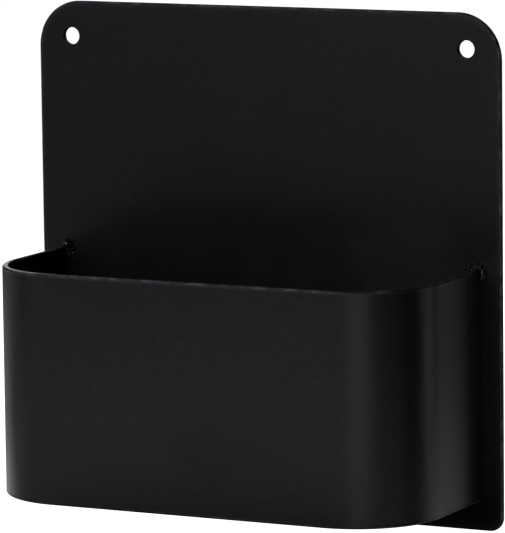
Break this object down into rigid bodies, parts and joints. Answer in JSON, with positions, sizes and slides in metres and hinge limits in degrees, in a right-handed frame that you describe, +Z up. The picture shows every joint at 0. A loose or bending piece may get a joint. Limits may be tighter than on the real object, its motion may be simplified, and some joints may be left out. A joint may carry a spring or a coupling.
{
  "type": "wall planter",
  "caption": "Black coated sheet-steel wall planter: a square back plate with round top corners and screw holes, and a deep pocket with wide round bends.",
  "frame": {"origin": "on the wall (the plane of the back plate's rear face), midway between the centres of the two screw holes", "axes": "+Z up; +Y into the wall, so the front of the planter faces -Y; +X to the right of someone who faces the planter"},
  "size_m": [0.25, 0.094, 0.25],
  "materials": {
    "black_coat": "satin",
    "weld_coat": "gloss"
  },
  "bodies": {
    "root": {"back_plate": "black_coat", "pocket_band": "black_coat", "pocket_floor": "black_coat", "rim_weld_left": "weld_coat", "rim_weld_right": "weld_coat", "foot_weld_left": "weld_coat", "foot_weld_right": "weld_coat", "floor_welds": "weld_coat"}
  },
  "joints": []
}
